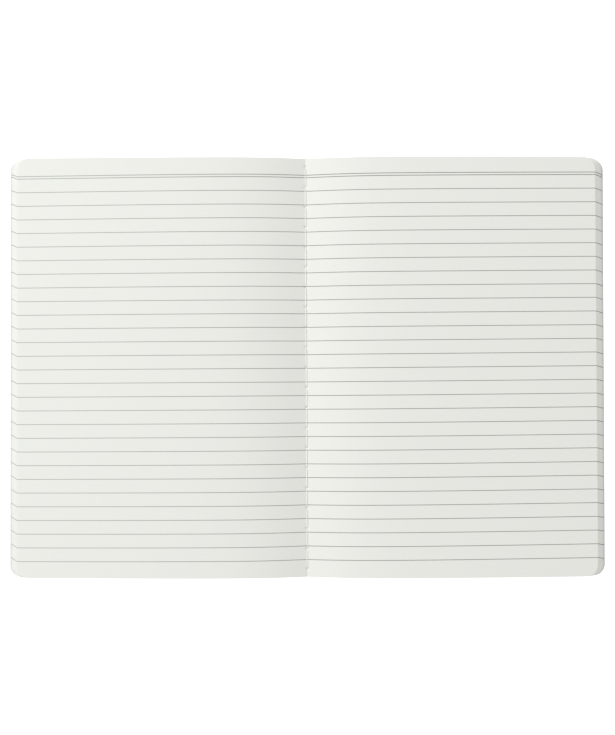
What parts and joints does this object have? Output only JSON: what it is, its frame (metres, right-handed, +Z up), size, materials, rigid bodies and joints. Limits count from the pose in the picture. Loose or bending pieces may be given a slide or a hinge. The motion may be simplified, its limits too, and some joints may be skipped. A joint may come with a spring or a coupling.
{
  "type": "open composition notebook",
  "caption": "Thread-sewn composition notebook lying open at its middle pages, with ruled paper, thin card covers and a cloth spine tape.",
  "frame": {"origin": "on the surface the open notebook lies on, under the middle of its spine", "axes": "+X across the right-hand page, +Y towards the head of the pages, +Z up out of the pages"},
  "size_m": [0.3564, 0.25, 0.0103],
  "materials": {
    "ruled_paper": "uncoated writing paper, matt, with pale grey ruling",
    "cover_card": "smooth pale grey card, slightly satin",
    "tape_cloth": "woven book cloth, matt",
    "sewing_thread": "twisted white sewing thread"
  },
  "bodies": {
    "pages": {"page_block": "ruled_paper", "spine_tape": "tape_cloth", "inner_thread": "sewing_thread", "outer_thread": "sewing_thread"},
    "front": {"front_cover": "cover_card"},
    "back": {"back_cover": "cover_card"}
  },
  "joints": [
    {"name": "front_cover_hinge", "type": "hinge", "parent": "pages", "child": "front", "pos_m": [-0.0015, 0, 0.0003], "axis": [0, -1, 0], "range_deg": [0, 90], "deforming": ["spine_tape"]},
    {"name": "back_cover_hinge", "type": "hinge", "parent": "pages", "child": "back", "pos_m": [0.0015, 0, 0.0003], "axis": [0, 1, 0], "range_deg": [0, 90], "deforming": ["spine_tape"]}
  ]
}
